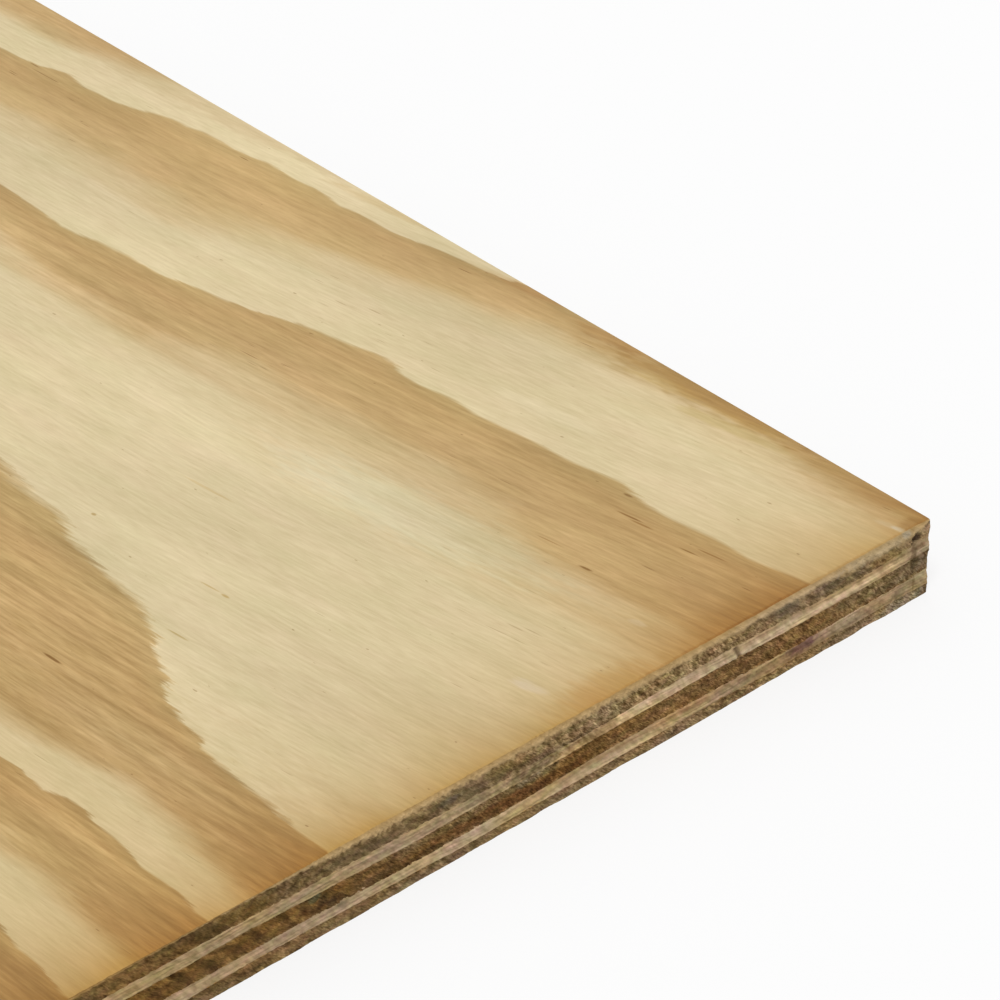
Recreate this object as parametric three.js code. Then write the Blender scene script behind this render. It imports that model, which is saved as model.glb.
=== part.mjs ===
import * as THREE from 'three';

// A full-size sheet of softwood plywood. Five rotary-cut veneers are glued with the grain of
// each one across its neighbours', pressed flat and sawn to size. Millimetres, +Z up. The sheet
// lies on its back: the origin is at the middle of the underside, the length and the face
// grain run along X, and the width runs along Y.

const SHEET_LENGTH = 2440;
const SHEET_WIDTH = 1220;

// Veneers in their places, from the underside up.
const BACK_THICKNESS = 2.5;
const LOWER_CROSSBAND_THICKNESS = 3.3;
const CORE_THICKNESS = 4.7;
const UPPER_CROSSBAND_THICKNESS = 3.3;
const FACE_THICKNESS = 4.2;

// Glue lines follow the swells and hollows of the veneers. Two waves run obliquely over the
// sheet, and each glue line meets them at a phase of its own.
const SWELL_HEIGHT = 0.35;
const SWELL_LENGTH_ACROSS = 240;
const SWELL_LENGTH_ALONG = 390;
const RIPPLE_HEIGHT = 0.2;
const RIPPLE_LENGTH_ACROSS = 105;
const RIPPLE_LENGTH_ALONG = 160;

// The crosscut saw breaks out the fibre ends along the upper arris of both ends of the face.
const TORN_ARRIS_DEPTH = 1.0;
const TORN_ARRIS_REACH = 0.6;
const TORN_ARRIS_PITCH = 170;

// Spacing of the points along the sawn edges, fine enough to carry the ripple.
const EDGE_STEP = 20;

// Rectangle of the sawn sheet, with points all the way round for the glue lines to bend at.
function sawnOutline() {
  const corners = [
    new THREE.Vector2(-SHEET_LENGTH / 2, -SHEET_WIDTH / 2),
    new THREE.Vector2(SHEET_LENGTH / 2, -SHEET_WIDTH / 2),
    new THREE.Vector2(SHEET_LENGTH / 2, SHEET_WIDTH / 2),
    new THREE.Vector2(-SHEET_LENGTH / 2, SHEET_WIDTH / 2),
  ];
  const points = corners.flatMap((corner, i) => {
    const next = corners[(i + 1) % corners.length];
    const steps = Math.ceil(corner.distanceTo(next) / EDGE_STEP);
    return Array.from({ length: steps }, (_, k) => corner.clone().lerp(next, k / steps));
  });
  return new THREE.Shape(points);
}

// Height of a surface that stays level, such as the sanded face.
function level(height) {
  return () => height;
}

// Height of a glue line: level on average, with the swell and the ripple on it. Phases are
// in turns, counted from the corner at the end of both axes.
function glueLine(height, swellPhase, ripplePhase) {
  return (x, y) => {
    const along = x - SHEET_LENGTH / 2;
    const across = y - SHEET_WIDTH / 2;
    const swell = along / SWELL_LENGTH_ALONG + across / SWELL_LENGTH_ACROSS + swellPhase;
    const ripple = across / RIPPLE_LENGTH_ACROSS - along / RIPPLE_LENGTH_ALONG + ripplePhase;
    return height
      + SWELL_HEIGHT * Math.sin(2 * Math.PI * swell)
      + RIPPLE_HEIGHT * Math.sin(2 * Math.PI * ripple);
  };
}

// A veneer fills the space between the surface under it and the surface over it.
function pressedVeneer(underside, topside) {
  const veneer = new THREE.ExtrudeGeometry(sawnOutline(), { depth: 1, bevelEnabled: false });
  const position = veneer.attributes.position;
  for (let i = 0; i < position.count; i += 1) {
    const surface = position.getZ(i) > 0.5 ? topside : underside;
    position.setZ(i, surface(position.getX(i), position.getY(i)));
  }
  veneer.computeVertexNormals();
  return veneer;
}

// How much of the saw's break-out is left at a place along an end: it comes and goes, and
// never dies away.
function breakOut(y) {
  const across = y - SHEET_WIDTH / 2;
  return 0.65 - 0.35 * Math.cos(2 * Math.PI * across / TORN_ARRIS_PITCH);
}

// The face veneer is made in two steps of height, so that its upper rim can lean back from
// both ends where the fibres broke out. Its long sides are cut with the grain and stay sharp.
function faceVeneer(underside, topHeight) {
  const veneer = new THREE.ExtrudeGeometry(sawnOutline(), {
    depth: 2, steps: 2, bevelEnabled: false,
  });
  const position = veneer.attributes.position;
  for (let i = 0; i < position.count; i += 1) {
    const x = position.getX(i);
    const y = position.getY(i);
    const step = Math.round(position.getZ(i));
    const atEnd = Math.abs(x) > SHEET_LENGTH / 2 - 1e-3;
    const broken = breakOut(y);
    const heights = [underside(x, y), topHeight - TORN_ARRIS_DEPTH * broken, topHeight];
    position.setZ(i, heights[step]);
    if (step === 2 && atEnd) {
      position.setX(i, x - Math.sign(x) * TORN_ARRIS_REACH * broken);
    }
  }
  veneer.computeVertexNormals();
  return veneer;
}

function woodMaterial(color) {
  return new THREE.MeshStandardMaterial({ color, roughness: 0.85, metalness: 0 });
}

// Heights of the four glue lines, each one veneer above the last.
const backTop = BACK_THICKNESS;
const lowerCrossbandTop = backTop + LOWER_CROSSBAND_THICKNESS;
const coreTop = lowerCrossbandTop + CORE_THICKNESS;
const upperCrossbandTop = coreTop + UPPER_CROSSBAND_THICKNESS;
const sheetTop = upperCrossbandTop + FACE_THICKNESS;

const underBack = level(0);
const overBack = glueLine(backTop, 0.03, 0.94);
const overLowerCrossband = glueLine(lowerCrossbandTop, 0.24, 0.03);
const overCore = glueLine(coreTop, 0.16, 0.99);
const overUpperCrossband = glueLine(upperCrossbandTop, 0.19, 0.94);

const backVeneer = new THREE.Mesh(
  pressedVeneer(underBack, overBack), woodMaterial(0x8d7148));
backVeneer.name = 'back_veneer';

const lowerCrossband = new THREE.Mesh(
  pressedVeneer(overBack, overLowerCrossband), woodMaterial(0xb9996d));
lowerCrossband.name = 'lower_crossband';

const coreVeneer = new THREE.Mesh(
  pressedVeneer(overLowerCrossband, overCore), woodMaterial(0x6b4b2c));
coreVeneer.name = 'core_veneer';

const upperCrossband = new THREE.Mesh(
  pressedVeneer(overCore, overUpperCrossband), woodMaterial(0xbfa075));
upperCrossband.name = 'upper_crossband';

const faceVeneerMesh = new THREE.Mesh(
  faceVeneer(overUpperCrossband, sheetTop), woodMaterial(0xd0ae74));
faceVeneerMesh.name = 'face_veneer';

const sheet = new THREE.Group();
sheet.add(backVeneer, lowerCrossband, coreVeneer, upperCrossband, faceVeneerMesh);

export default sheet;
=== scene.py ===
from math import cos, pi, radians, sin, sqrt

import bmesh
import bpy
import numpy as np
from mathutils import Euler, Matrix, Vector


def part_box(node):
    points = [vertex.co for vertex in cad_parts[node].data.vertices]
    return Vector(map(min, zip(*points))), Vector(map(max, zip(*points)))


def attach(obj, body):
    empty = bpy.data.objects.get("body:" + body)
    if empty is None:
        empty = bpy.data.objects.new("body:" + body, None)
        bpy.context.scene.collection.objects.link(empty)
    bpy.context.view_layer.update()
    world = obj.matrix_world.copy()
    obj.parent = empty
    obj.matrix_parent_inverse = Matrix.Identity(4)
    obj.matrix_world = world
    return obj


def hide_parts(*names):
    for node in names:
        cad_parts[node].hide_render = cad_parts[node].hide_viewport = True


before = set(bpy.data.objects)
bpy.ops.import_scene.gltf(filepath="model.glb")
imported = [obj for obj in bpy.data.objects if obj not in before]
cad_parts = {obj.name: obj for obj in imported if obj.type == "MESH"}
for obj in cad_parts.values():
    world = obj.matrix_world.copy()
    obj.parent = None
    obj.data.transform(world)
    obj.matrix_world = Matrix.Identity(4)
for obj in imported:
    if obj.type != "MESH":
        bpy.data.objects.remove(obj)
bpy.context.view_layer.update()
MM = 0.001


# Camera. A long lens looks down on the corner of the sheet where both of its axes end, from
# beside the sawn end. The image is taken as square.
sheet_low, sheet_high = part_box("face_veneer")
VIEW_AZIMUTH = radians(47.65)
VIEW_ELEVATION = radians(34.56)
LENS_MM = 175.27
CORNER_IN_VIEW = Vector((85.9, -3.8, -969.6)) * MM

camera_data = bpy.data.cameras.new("corner_camera")
camera_data.sensor_width = 36.0
camera_data.lens = LENS_MM
camera_data.clip_start = 0.05
camera_data.clip_end = 200.0
camera = bpy.data.objects.new("corner_camera", camera_data)
view_turn = Euler((pi / 2 - VIEW_ELEVATION, 0.0, VIEW_AZIMUTH)).to_matrix().to_4x4()
camera.matrix_world = (Matrix.Translation(sheet_high) @ view_turn
                       @ Matrix.Translation(-CORNER_IN_VIEW))
bpy.context.scene.collection.objects.link(camera)
bpy.context.scene.camera = camera
bpy.context.scene.view_settings.view_transform = "Standard"


# Floor and light. The sheet lies on a white studio floor under an even white surround, with
# one broad soft lamp that rakes along the sawn end.
FLOOR_SIZE = 60.0
FLOOR_PAINT = (0.9, 0.9, 0.9, 1.0)
FLOOR_GLOW = 0.5
FLOOR_GLOW_SEEN = 0.72
PURE_WHITE = (1.0, 1.0, 1.0, 1.0)
SURROUND_STRENGTH = 0.66
LAMP_STRENGTH = 1.35
LAMP_ANGLE = radians(20)
LAMP_TURN = Euler((radians(27), 0.0, radians(38)))


def add_node(tree, kind, inputs=None, **settings):
    """One shader node, with its settings, and with inputs that are values or other outputs."""
    node = tree.nodes.new("ShaderNode" + kind)
    for name, value in settings.items():
        setattr(node, name, value)
    for name, value in (inputs or {}).items():
        if isinstance(value, bpy.types.NodeSocket):
            tree.links.new(value, node.inputs[name])
        else:
            node.inputs[name].default_value = value
    return node


def new_material(name):
    """An empty node material and its tree."""
    material = bpy.data.materials.new(name)
    material.use_nodes = True
    material.node_tree.nodes.clear()
    return material, material.node_tree


def seen_directly(tree):
    """One where the ray comes from the camera, a mirror or a lens, and nought elsewhere."""
    path = add_node(tree, "LightPath")
    mirrored = add_node(tree, "Math", {0: path.outputs["Is Camera Ray"],
                                       1: path.outputs["Is Glossy Ray"]}, operation="MAXIMUM")
    return add_node(tree, "Math", {0: mirrored.outputs[0],
                                   1: path.outputs["Is Transmission Ray"]},
                    operation="MAXIMUM").outputs[0]


floor_mesh = bpy.data.meshes.new("studio_floor")
floor_build = bmesh.new()
bmesh.ops.create_grid(floor_build, x_segments=1, y_segments=1, size=FLOOR_SIZE)
floor_build.to_mesh(floor_mesh)
floor_build.free()
floor = bpy.data.objects.new("studio_floor", floor_mesh)
bpy.context.scene.collection.objects.link(floor)
floor_white, tree = new_material("floor_white")
paint = add_node(tree, "BsdfDiffuse", {"Color": FLOOR_PAINT})
seen = seen_directly(tree)
glow = add_node(tree, "Emission", {"Color": PURE_WHITE, "Strength": seen})
glow_share = add_node(tree, "MapRange", {"Value": seen, "To Min": FLOOR_GLOW,
                                        "To Max": FLOOR_GLOW_SEEN})
glowing = add_node(tree, "MixShader", {0: glow_share.outputs[0], 1: paint.outputs[0],
                                       2: glow.outputs[0]})
add_node(tree, "OutputMaterial", {"Surface": glowing.outputs[0]})
floor_mesh.materials.append(floor_white)

surround = bpy.data.worlds.new("white_surround")
surround.use_nodes = True
tree = surround.node_tree
tree.nodes.clear()
surround_level = add_node(tree, "MapRange", {"Value": seen_directly(tree),
                                             "To Min": SURROUND_STRENGTH, "To Max": 1.0})
surround_light = add_node(tree, "Background", {"Color": PURE_WHITE,
                                               "Strength": surround_level.outputs[0]})
add_node(tree, "OutputWorld", {"Surface": surround_light.outputs[0]})
bpy.context.scene.world = surround

lamp_data = bpy.data.lights.new("soft_lamp", "SUN")
lamp_data.energy = LAMP_STRENGTH
lamp_data.angle = LAMP_ANGLE
lamp = bpy.data.objects.new("soft_lamp", lamp_data)
lamp.rotation_euler = LAMP_TURN
bpy.context.scene.collection.objects.link(lamp)


# Face veneer: the top ply, peeled from a pine log and laid with its grain along the sheet. Its
# sanded side shows the growth rings as long bands, each of whose dark late wood ends sharply
# on one side. Its ends show dark end grain, with an upper arris that the saw has torn.
SHEET_LENGTH = sheet_high.x - sheet_low.x
SHEET_WIDTH = sheet_high.y - sheet_low.y
FINE_LENGTH = 320 * MM
FINE_WIDTH = 250 * MM
FINE_FADE = 15 * MM
FINE_STEP_ALONG = 5 * MM
FINE_STEP_ACROSS = 2.5 * MM
COARSE_STEP_ALONG = 24 * MM
COARSE_STEP_ACROSS = 12 * MM
ROW_HEIGHT = 0.33 * MM
END_CUTS = 7
ARRIS_CELL = 1.2 * MM
RIM_REACH = MM / 10
WAVES = 24


def graded(low, high, fine, fine_step, coarse_step):
    """Stations from low to high: wide apart, then close together over the last stretch, with
    one more beside each end for the worn arris."""
    coarse_count = round((high - fine - low) / coarse_step)
    fine_count = round(fine / fine_step)
    coarse = np.linspace(low, high - fine, coarse_count, endpoint=False)
    stations = np.append(coarse, np.linspace(high - fine, high, fine_count + 1))
    return np.insert(stations, [1, len(stations) - 1], [low + ARRIS_CELL, high - ARRIS_CELL])


def drift(x, y, length_x, length_y, seed):
    """A smooth random field of about unit height, with hills of the given length and width."""
    rng = np.random.default_rng(seed)
    total = 0.0
    for _ in range(WAVES):
        turn, phase = rng.uniform(0.0, 2 * pi, 2)
        pitch = 2 * pi * rng.uniform(0.6, 1.6)
        way = x * cos(turn) / length_x + y * sin(turn) / length_y
        total = total + np.sin(pitch * way + phase)
    return total / sqrt(WAVES / 2)


def at_end(x):
    """Whether points lie on the sawn ends."""
    return SHEET_LENGTH / 2 - abs(x) < RIM_REACH


def at_edge(y):
    """Whether points lie on the long edges."""
    return SHEET_WIDTH / 2 - abs(y) < RIM_REACH


def across(y):
    """Millimetres across the sheet from the corner, which falls away from nought."""
    return (y - sheet_high.y) / MM


def upwards(z):
    """Millimetres up from the top of the sheet, which falls away from nought."""
    return (z - sheet_high.z) / MM


def around_sheet(x, y):
    """Distance round the sheet, counted from its lowest corner, of points on its edges."""
    x = x + SHEET_LENGTH / 2
    y = y + SHEET_WIDTH / 2
    gaps = np.stack([y, SHEET_LENGTH - x, SHEET_WIDTH - y, x])
    ways = np.stack([x, SHEET_LENGTH + y, 2 * SHEET_LENGTH + SHEET_WIDTH - x,
                     2 * (SHEET_LENGTH + SHEET_WIDTH) - y])
    return np.take_along_axis(ways, gaps.argmin(0)[None], 0)[0]


def rim_heights(node, way):
    """Heights of a solid veneer's lower rim and upper rim, at distances round the sheet."""
    points = np.array([vert.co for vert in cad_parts[node].data.vertices])
    corners = np.round(around_sheet(points[:, 0], points[:, 1]) / MM).astype(int)
    stations = np.unique(corners)
    round_trip = 2 * (SHEET_LENGTH + SHEET_WIDTH)
    for outermost in (np.min, np.max):
        heights = [outermost(points[corners == station, 2]) for station in stations]
        yield np.interp(way, stations * MM, heights, period=round_trip)


def saw_veneer(node, shown_side):
    """The body of one veneer, one unit high: a grid for the side that shows, if one does, and
    walls in thin rows, finest beside the corner. The ends get material 1, the edges 2."""
    low_z, high_z = (corner.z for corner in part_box(node))
    rows = round((high_z - low_z) / ROW_HEIGHT)
    columns = graded(sheet_low.x, sheet_high.x, FINE_LENGTH, FINE_STEP_ALONG, COARSE_STEP_ALONG)
    lines = graded(sheet_low.y, sheet_high.y, FINE_WIDTH, FINE_STEP_ACROSS, COARSE_STEP_ACROSS)
    start, step = (0.0, 1.0) if shown_side == "below" else (1.0, -1.0)
    build = bmesh.new()
    bmesh.ops.create_grid(build, x_segments=len(columns) - 1, y_segments=len(lines) - 1, size=0.5)
    for vert in build.verts:
        vert.co.x = columns[round((vert.co.x + 0.5) * (len(columns) - 1))]
        vert.co.y = lines[round((vert.co.y + 0.5) * (len(lines) - 1))]
        vert.co.z = start
    rim = [edge for edge in build.edges if edge.is_boundary]
    for row in range(rows):
        made = bmesh.ops.extrude_edge_only(build, edges=rim)["geom"]
        rim = [item for item in made if isinstance(item, bmesh.types.BMEdge) and item.is_boundary]
        for vert in {vert for edge in rim for vert in edge.verts}:
            vert.co.z = start + step * (row + 1) / rows
    end_x = sheet_high.x - RIM_REACH
    fine_y = sheet_high.y - FINE_WIDTH - RIM_REACH
    level = [edge for edge in build.edges
             if all(vert.co.x > end_x and vert.co.y > fine_y for vert in edge.verts)
             and abs(edge.verts[0].co.z - edge.verts[1].co.z) < 0.5 / rows]
    bmesh.ops.subdivide_edges(build, edges=level, cuts=END_CUTS, use_grid_fill=True)
    if shown_side == "none":
        cap = [face for face in build.faces if all(vert.co.z == start for vert in face.verts)]
        bmesh.ops.dissolve_faces(build, faces=cap)
    rim = [edge for edge in build.edges if edge.is_boundary]
    bmesh.ops.contextual_create(build, geom=rim)
    bmesh.ops.recalc_face_normals(build, faces=build.faces[:])
    for face in build.faces:
        if abs(face.normal.x) > 0.5:
            face.material_index = 1
        elif abs(face.normal.y) > 0.5:
            face.material_index = 2
    mesh = bpy.data.meshes.new(node + "_dressed")
    build.to_mesh(mesh)
    build.free()
    return mesh


def beside_corner(x, y):
    """One on the finely made stretch of the sawn end, falling to nought beyond it."""
    far = np.where(x > 0, sheet_high.y - FINE_WIDTH + FINE_FADE - y, FINE_FADE)
    return np.clip(1 - far / FINE_FADE, 0.0, 1.0)


def along_end(y, places, values):
    """A value that changes along an end, given at places in millimetres from the corner."""
    return np.interp(across(y), places, values)


# How far the glue line over each veneer wanders on the sawn end beside the corner, from the
# bottom one up: pairs of distance from the corner and height, in millimetres.
GLUE_WANDER = {
    "back_veneer": [(-212, 0), (-198, 0), (-190, 0.1), (-177, 0.3), (-156, 0.25), (-135, 0.1),
                    (-128, -0.1), (-107, 0.25), (-93, 0.1), (-82, 0.35), (-58, 0.35), (-44, -0.05),
                    (-30, 0.4), (-16, 0.3), (0, 0)],
    "lower_crossband": [(-212, -0.1), (-195, -0.1), (-184, -0.25), (-166, 0.05), (-149, -0.25),
                        (-118, -0.35), (-107, -0.25), (-86, 0.15), (-72, 0), (-51, -0.35),
                        (-37, -0.7), (-23, -0.3), (-9, -0.4), (0, 0)],
    "core_veneer": [(-212, 0.1), (-191, -0.2), (-177, 0.05), (-163, -0.2), (-135, -0.4),
                    (-121, 0.05), (-107, -0.3), (-90, -0.1), (-72, -0.05), (-62, 0.15),
                    (-51, -0.1), (-23, -0.3), (-9, -0.4), (0, 0)],
    "upper_crossband": [(-212, -0.25), (-198, -0.4), (-184, -0.45), (-170, -0.65), (-149, -0.7),
                        (-135, -0.65), (-121, -0.75), (-107, -1.05), (-90, -1.15), (-80, -0.95),
                        (-65, -0.6), (-58, -0.3), (-44, -0.6), (-30, -0.75), (-16, -0.85),
                        (-9, -0.5), (0, 0)],
}
PLIES = [*GLUE_WANDER, "face_veneer"]


def wandering_line(lower, x, y, height):
    """Heights of the glue line over a ply, with its wander beside the corner."""
    if lower < 0 or lower == len(PLIES) - 1:
        return height
    wander = along_end(y, *np.array(GLUE_WANDER[PLIES[lower]]).T) * MM
    return height + np.where(x > 0, wander, 0.0) * beside_corner(x, y)


def pressed_places(mesh, node):
    """Where the vertices of a body come to lie between the veneer's two glue lines, and how
    far up the veneer each one is, from nought to one."""
    flat = np.empty(3 * len(mesh.vertices))
    mesh.vertices.foreach_get("co", flat)
    x, y, share = flat.reshape(-1, 3).T.copy()
    low, high = np.full_like(x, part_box(node)[0].z), np.full_like(x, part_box(node)[1].z)
    rim = at_end(x) | at_edge(y)
    low[rim], high[rim] = rim_heights(node, around_sheet(x[rim], y[rim]))
    low[rim] = wandering_line(PLIES.index(node) - 1, x[rim], y[rim], low[rim])
    high[rim] = wandering_line(PLIES.index(node), x[rim], y[rim], high[rim])
    return x, y, low + share * (high - low), share


def pared(x, y, end_depth, edge_depth):
    """The walls moved inwards, never outwards: the ends by one depth, the edges by another."""
    end_depth = np.clip(end_depth, 0.0, None)
    return (x - np.sign(x) * np.where(at_end(x), end_depth, 0.0),
            y - np.sign(y) * np.where(at_edge(y), edge_depth, 0.0))


def move_vertices(mesh, x, y, z):
    """Puts the vertices in their places."""
    mesh.vertices.foreach_set("co", np.stack([x, y, z], 1).ravel())
    mesh.update()


def name_fields(mesh, **fields):
    """Stores one number, or three, for each vertex under each name, for materials to read."""
    for name, values in fields.items():
        kind, key = ("FLOAT", "value") if values.ndim == 1 else ("FLOAT_VECTOR", "vector")
        mesh.attributes.new(name, kind, "POINT").data.foreach_set(key, values.ravel())


def place_piece(mesh, node, materials):
    """Puts a finished mesh in the scene, in place of its CAD solid, with the materials of its
    broad sides, its ends and its long edges."""
    for material in materials:
        mesh.materials.append(material)
    piece = bpy.data.objects.new(mesh.name, mesh)
    bpy.context.scene.collection.objects.link(piece)
    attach(piece, "root")
    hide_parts(node)


STROKE_LEAN = radians(43)
DEEPEST_END_CUT = 0.4
DEEPEST_LONG_CUT = 0.3


def saw_strokes(way, z, width, length, seed):
    """Torn fibre ends: short strokes down the sawn face, which lean with the path of the saw."""
    down_stroke = way * cos(STROKE_LEAN) - z * sin(STROKE_LEAN)
    over_stroke = way * sin(STROKE_LEAN) + z * cos(STROKE_LEAN)
    return drift(over_stroke, down_stroke, width, length, seed)


def end_grain_depth(x, y, z, seed):
    """How far the saw has cut into end grain at each place on an end."""
    torn = (0.12 + 0.065 * saw_strokes(y, z, 0.95 * MM, 2.4 * MM, seed)
            + 0.03 * drift(y, z, 6 * MM, 2.5 * MM, seed + 1))
    torn = np.clip(torn, 0.01, DEEPEST_END_CUT) * np.clip(-across(y) / 4, 0.4, 1.0)
    return torn * MM * beside_corner(x, y)


# How far the upright arris at the corner has crumbled, by the height from the top of the sheet,
# in millimetres.
WEAR_PLACES = [-18, -15.5, -14, -12.5, -11, -9.5, -8.1, -7.6, -6.4, -5.8, -5, -4.2, -3, -2, 0]
WEAR_DEPTHS = [0.1, 0.0, 0.05, 0.3, 0.38, 0.38, 0.25, 0.0, 0.0, 0.1, 0.3, 0.4, 0.2, 0.05, 0.3]
WEAR_WIDTH = 1.6 * MM


def corner_wear(x, y, z):
    """Extra depth where the upright arris at the corner has crumbled."""
    depth = np.interp(upwards(z), WEAR_PLACES, WEAR_DEPTHS) * MM
    return np.where(x > 0, depth * np.exp((y - sheet_high.y) / WEAR_WIDTH), 0.0)


# Lines of equal ring number near the corner, in millimetres from it. At a whole number the dark
# late wood of one ring ends sharply, and at a half the pale early wood of the next has faded in.
RING_LINES = {
    0.5: [(-300, -252), (-60, -245), (0, -240)],
    1.0: [(-320, -226), (-200, -214), (-60, -211), (-25, -214), (-12, -216), (0, -217.5)],
    1.5: [(-320, -212), (-200, -206), (-90, -204), (-45, -198.5), (-30, -199.5), (0, -202)],
    2.0: [(-320, -182), (-200, -189), (-130, -192), (-90, -188), (-66, -184), (-45, -183.5),
          (-28, -183), (-20, -185), (0, -186)],
    2.5: [(-320, -158), (-200, -172), (-130, -184), (-80, -179), (-60, -175), (-50, -173),
          (-38, -170), (-20, -174), (0, -178)],
    3.0: [(-320, -104), (-190, -119), (-150, -123), (-130, -125), (-122, -126), (-108, -130.5),
          (-92, -133.5), (-84, -134), (-79, -136), (-70, -141.5), (-60, -148), (-54, -151.5),
          (-47, -152.5), (-38, -156), (-20, -157), (0, -158.5)],
    3.5: [(-320, -76), (-260, -69), (-210, -70), (-185, -74), (-160, -73.5), (-145, -67),
          (-135, -64.5), (-115, -65.5), (-100, -63), (-80, -60.5), (-60, -62), (-40, -69),
          (-20, -67), (0, -70)],
    4.0: [(-320, -67), (-260, -59), (-230, -57.5), (-200, -57.8), (-186, -56), (-165, -53.5),
          (-155, -51), (-143, -46.5), (-118, -41.3), (-110, -42.2), (-90, -41.8), (-70, -39.3),
          (-52, -37.2), (-38, -38), (-15, -35.5), (0, -34)],
    4.5: [(-320, -46), (-262, -36), (-220, -35), (-190, -36), (-165, -27), (-140, -20),
          (-125, -15), (-110, -12.5), (-100, -9), (-85, -7), (-60, -4.5), (0, -4)],
    5.0: [(-320, -26), (-277, -20), (-255, -16.5), (-240, -16), (-225, -11.5), (-205, -9),
          (-190, -7.2), (-182, -8), (-160, -7.2), (-143, -5), (-130, -2), (-118, 0),
          (-95, 2), (0, 4)],
    5.5: [(-320, -12), (-280, -9), (-262, -6), (-250, -1), (-235, 4), (0, 20)],
    6.0: [(-320, 12), (0, 60)],
}
MATCHED_LENGTH = 330 * MM
MATCHED_WIDTH = 250 * MM
MATCH_FADE = 260 * MM
LOG_TURN = 942 * MM
LOG_WANDER = 45 * MM
FACE_RINGS_PER_DEPTH = 0.08 / MM
# Slow drifts of a veneer's rings: height in rings, and length and width in millimetres.
RING_DRIFTS = [(0.45, 1100, 120), (0.11, 300, 50)]


def peeled_rings(x, y, swing, middle_y, seed):
    """Ring number over a peeled veneer: it swings once a turn of the log, and drifts."""
    wander = LOG_WANDER * drift(x, 0 * y, 1200 * MM, 1, seed)
    turn = 2 * pi * (y - middle_y + wander) / LOG_TURN
    rings = swing * (1 + np.sin(turn))
    for step, (height, length, width) in enumerate(RING_DRIFTS, 1):
        rings = rings + height * drift(x, y, length * MM, width * MM, seed + step)
    return rings


def beyond_match(back, down):
    """Nought where the ring lines lead, and one well away from the corner."""
    beyond = np.hypot(np.maximum(-back * MM - MATCHED_LENGTH, 0.0),
                      np.maximum(-down * MM - MATCHED_WIDTH, 0.0)) / MATCH_FADE
    beyond = np.clip(beyond, 0.0, 1.0)
    return beyond ** 2 * (3 - 2 * beyond)


def face_rings(x, y):
    """Ring number on the face: led along the ring lines near the corner, and peeled beyond."""
    back = (x - sheet_high.x) / MM
    down = across(y)
    levels = sorted(RING_LINES)
    lines = [np.interp(back, *np.array(RING_LINES[level]).T) for level in levels]
    wavy = down + 0.5 * drift(x, y, 22 * MM, 9 * MM, 15)
    matched = levels[0] + 0.0 * back
    for lower, upper in zip(lines, lines[1:]):
        matched += 0.5 * np.clip((wavy - lower) / (upper - lower), 0.0, 1.0)
    share = beyond_match(back, down)
    return matched + share * (peeled_rings(x, y, 3.0, 500 * MM, 11) - matched)


FIBRE_LEAN = radians(6)
FIBRE_LEAN_REACH = 450 * MM
FIBRE_LEAN_WIDTH = 190 * MM
FIBRE_WANDER = 4 * MM


def face_fibres(x, y):
    """Distance across the fibres, which lean off the sheet's length near the corner."""
    back = sheet_high.x - x
    down = sheet_high.y - y
    lean = FIBRE_LEAN * np.exp(-(down / FIBRE_LEAN_WIDTH) ** 4)
    return (y + np.tan(lean) * FIBRE_LEAN_REACH * np.tanh(back / FIBRE_LEAN_REACH)
            + FIBRE_WANDER * drift(x, y, 700 * MM, 260 * MM, 17))


# How badly the upper arris of the ends is torn, by the distance from the corner in millimetres,
# repeated along each end. The hollow beside the corner is where a splinter has gone.
TEAR_REPEAT = 360
TEAR_PLACES = [-360, -245, -200, -175, -165, -155, -140, -120, -90, -60, -32, -20, -6, 0]
TEAR_STRENGTHS = [0.2, 0.5, 0.2, 0.2, 0.4, 0.75, 1.0, 0.9, 1.0, 0.95, 0.95, 1.35, 1.5, 0.3]
TEAR_DEPTH = 2.3 * MM
TEAR_REACH = 0.6 * MM
LOOSE_FIBRE = 0.05 * MM
BRISTLE_PLACES = [-170, -150, -90, -55, -20, 0]
BRISTLE_STRENGTHS = [0.5, 1.0, 0.8, 0.3, 0.2, 0.4]
FACE_ROUGH_PLACES = [-205, -125, -110, -80, -50, -40, 0]
FACE_ROUGHNESS = [0.1, 0.1, 0.75, 1.0, 0.9, 0.2, 0.2]
HOLLOW_PLACE = (-3.7, -3.6)
HOLLOW_SIZE = (1.8, 2.0)
HOLLOW_DEPTH = 1.2 * MM
ARRIS_DROP = 0.16 * MM
RIM_DROP = 0.06 * MM
RIM_ROUNDING = 0.08 * MM
FACE_EDGE_CUT = 0.03 * MM
LONG_EDGE_CUT = 0.04 * MM
SLOPE_STEP = 2 * MM


def hollow(y, z, place, size):
    """A rough round hollow in the end, from one at its middle to nought round it."""
    beside = (across(y) - place[0]) / size[0]
    above = (upwards(z) - place[1]) / size[1]
    reach = np.hypot(beside, above) + 0.12 * drift(y, z, 0.9 * MM, 0.9 * MM, 75)
    inside = np.clip(1.15 - reach, 0.0, 1.0)
    return inside ** 2 * (3 - 2 * inside)


def tear_strength(y):
    """How badly the arris is torn at each place along an end."""
    strength = np.interp(across(y), TEAR_PLACES, TEAR_STRENGTHS, period=TEAR_REPEAT)
    return np.clip(strength * (1 + 0.10 * drift(y, 0 * y, 9 * MM, 1, 71)), 0.05, 1.6)


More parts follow.
